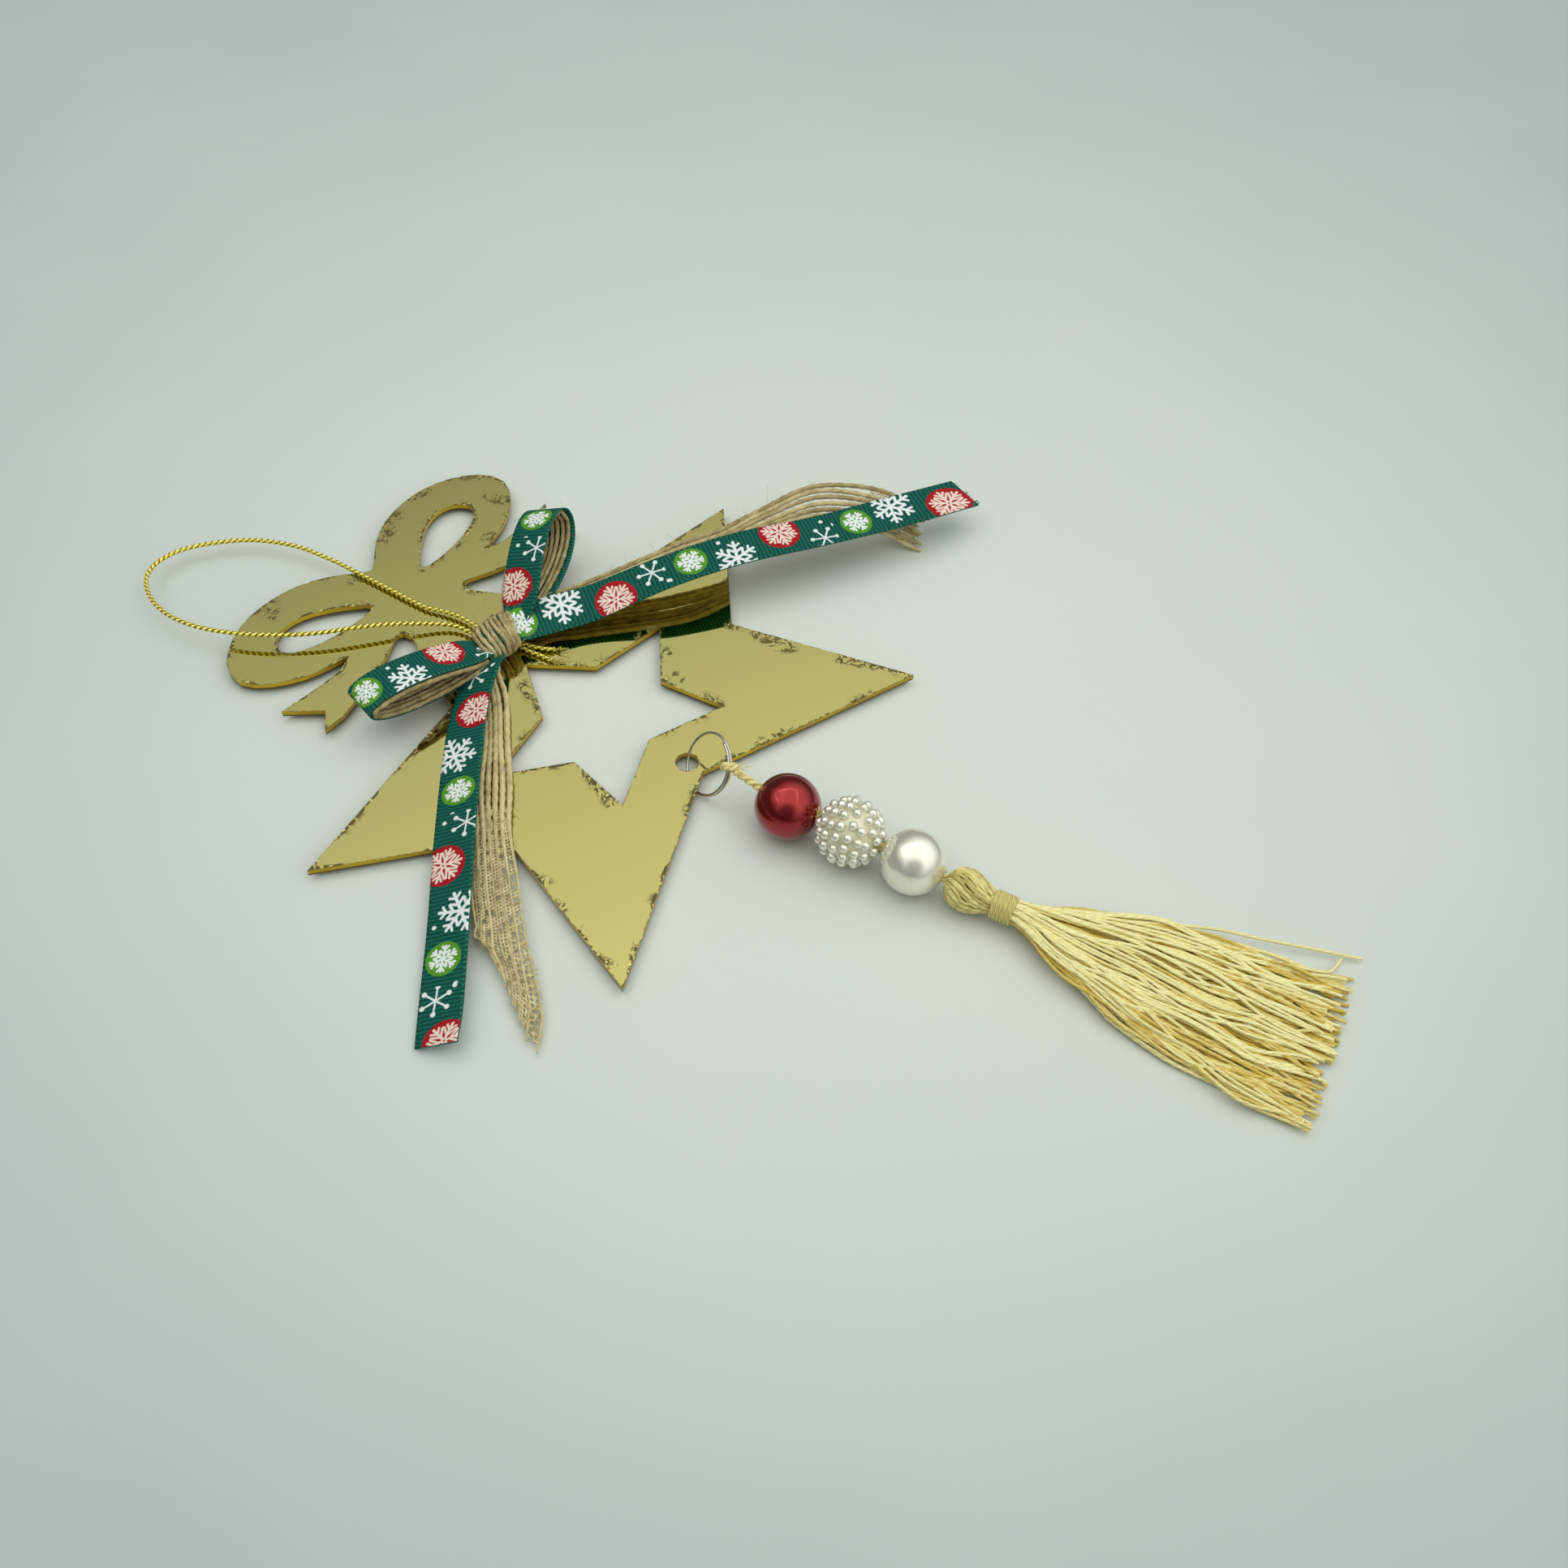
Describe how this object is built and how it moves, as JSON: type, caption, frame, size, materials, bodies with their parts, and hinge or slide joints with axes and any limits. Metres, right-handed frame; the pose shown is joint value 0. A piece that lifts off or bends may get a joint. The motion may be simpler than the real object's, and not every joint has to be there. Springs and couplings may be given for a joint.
{
  "type": "acrylic star ornament",
  "caption": "Flat gold mirror acrylic star with a bow outline, tied with a printed ribbon and a jute ribbon, and hung with a ring, beads and a tassel.",
  "frame": {"origin": "on the acrylic sheet's back face, on its centre line, behind the middle of the bow's knot; the surface it lies on is 1.2 mm below", "axes": "+Y to the top of the ornament as it hangs, +X to its right seen from the front, +Z out of its front"},
  "size_m": [0.1924, 0.2819, 0.0178],
  "materials": {
    "gold_mirror_acrylic": "gold mirror film behind clear acrylic, with dark marks at the cut edges",
    "ring_steel": "plain drawn wire",
    "green_grosgrain": "ribbed ribbon with a snowflake print",
    "jute_strands": "rough twisted strands",
    "gold_thread": "metallic twisted thread",
    "cream_cotton": "soft twisted thread",
    "red_pearl_coat": "pearly lacquer",
    "ivory_pearl_coat": "pearly lacquer"
  },
  "bodies": {
    "root": {"star_plate": "gold_mirror_acrylic", "split_ring": "ring_steel", "green_ribbon": "green_grosgrain", "jute_ribbon": "jute_strands", "hanging_cord": "gold_thread", "bead_cord": "cream_cotton", "red_bead": "red_pearl_coat", "pearl_cluster_bead": "ivory_pearl_coat", "pearl_bead": "ivory_pearl_coat", "tassel": "cream_cotton", "tassel_wrap": "cream_cotton"}
  },
  "joints": []
}
